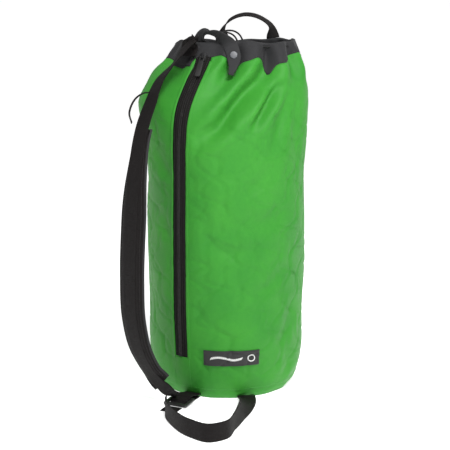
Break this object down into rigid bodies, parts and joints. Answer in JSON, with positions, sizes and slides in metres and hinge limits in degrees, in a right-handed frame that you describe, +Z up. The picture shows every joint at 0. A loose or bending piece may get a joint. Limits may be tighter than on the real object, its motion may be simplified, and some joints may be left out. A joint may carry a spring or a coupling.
{
  "type": "rope storage bag",
  "caption": "Upright cylindrical cloth rope bag with drawn collar, side zip, top handle, padded shoulder strap and webbing tail loop.",
  "frame": {"origin": "centre of the base on the floor", "axes": "+Z up along the bag, -Y the front with the label, -X the shoulder strap side"},
  "size_m": [0.3076, 0.4487, 0.6254],
  "materials": {
    "green_cloth": "coated polyester, satin",
    "black_cloth": "plain weave",
    "webbing": "woven polyester tape",
    "label": "moulded, matt",
    "foam": "closed-cell foam",
    "pad_cloth": "woven cover",
    "black_plastic": "moulded",
    "steel": "spring wire",
    "zip_coil": "monofilament",
    "zip_tape": "herringbone tape",
    "zip_metal": "black enamel",
    "grey_snap": "grey enamel",
    "cord": "braided"
  },
  "bodies": {
    "bag": {"body_panel": "green_cloth", "collar": "black_cloth", "collar_hem": "black_cloth", "drawcord_eyelets": "zip_metal", "drawcord_hem": "cord", "drawcord_strand_1": "cord", "drawcord_strand_2": "cord", "cord_end_knot": "cord", "base_panel": "green_cloth", "base_seam_tape": "black_cloth", "rope_tie_loop": "webbing", "zip_tape_left": "zip_tape", "zip_tape_right": "zip_tape", "zip_coil_left": "zip_coil", "zip_coil_right": "zip_coil", "zip_bottom_stop": "zip_metal", "label_patch": "label", "handle_ends": "webbing", "closure_tab_root": "webbing", "stud_post": "grey_snap", "strap_patch": "webbing", "strap_top_tab": "webbing", "strap_anchor": "webbing", "tail_sewn_end": "webbing", "tail_start": "webbing"},
    "slider": {"zip_slider": "zip_metal"},
    "pull": {"zip_pull": "black_plastic"},
    "cord_lock": {"cord_lock_body": "black_plastic", "cord_lock_spring": "steel"},
    "lock_button": {"cord_lock_button": "black_plastic"},
    "handle": {"top_handle": "webbing"},
    "tab": {"closure_tab": "webbing", "stud_cap": "grey_snap", "stud_socket": "grey_snap"},
    "strap": {"strap_webbing": "webbing", "pad_cover": "pad_cloth", "pad_foam": "foam", "pad_binding": "black_cloth"},
    "gear_tape": {"gear_loop": "webbing"},
    "buckle": {"ladder_lock": "black_plastic", "webbing_in_lock": "webbing"},
    "tail": {"tail_webbing": "webbing"}
  },
  "joints": [
    {"name": "zip_slider_run", "type": "hinge", "parent": "bag", "child": "slider", "pos_m": [0.28153, 0.4104, 0.23589], "axis": [0.8246, -0.5657, 0], "range_deg": [0, 43.22], "deforming": ["zip_tape_left", "zip_tape_right", "zip_coil_left", "zip_coil_right"]},
    {"name": "zip_pull_swing", "type": "hinge", "parent": "slider", "child": "pull", "pos_m": [-0.03713, -0.05645, 0.55518], "axis": [-0.9417, 0.3147, 0.1191], "range_deg": [0, 90]},
    {"name": "cord_lock_slide", "type": "slide", "parent": "bag", "child": "cord_lock", "axis": [0, 0, 1], "range_m": [-0.009, 0.002]},
    {"name": "cord_lock_press", "type": "slide", "parent": "cord_lock", "child": "lock_button", "axis": [-1, 0, 0], "range_m": [0, 0.003], "stiffness_N_per_m": 400, "deforming": ["cord_lock_spring"]},
    {"name": "top_handle_fold", "type": "hinge", "parent": "bag", "child": "handle", "pos_m": [-0.006, 0.05078, 0.581], "axis": [0.9927, -0.1207, 0], "range_deg": [-85, 60]},
    {"name": "closure_tab_lift", "type": "hinge", "parent": "bag", "child": "tab", "pos_m": [-0.043, -0.0284, 0.5768], "axis": [-0.9207, 0.3903, 0], "range_deg": [0, 65]},
    {"name": "shoulder_strap_swing", "type": "hinge", "parent": "bag", "child": "strap", "pos_m": [-0.078, -0.15, 0.0175], "axis": [0.0489, 0.1536, 0.9869], "range_deg": [-5, 15]},
    {"name": "gear_loop_swing", "type": "hinge", "parent": "strap", "child": "gear_tape", "pos_m": [-0.129, -0.083, 0.498], "axis": [0.4049, 0.3856, 0.8291], "range_deg": [-60, 60]},
    {"name": "ladder_lock_lift", "type": "hinge", "parent": "bag", "child": "buckle", "pos_m": [-0.06901, -0.13543, 0.007], "axis": [-0.891, 0.454, 0], "range_deg": [0, 6]},
    {"name": "tail_handle_lift", "type": "hinge", "parent": "bag", "child": "tail", "pos_m": [-0.094, -0.187, 0.004], "axis": [-0.8767, -0.481, 0.0027], "range_deg": [0, 60]}
  ]
}
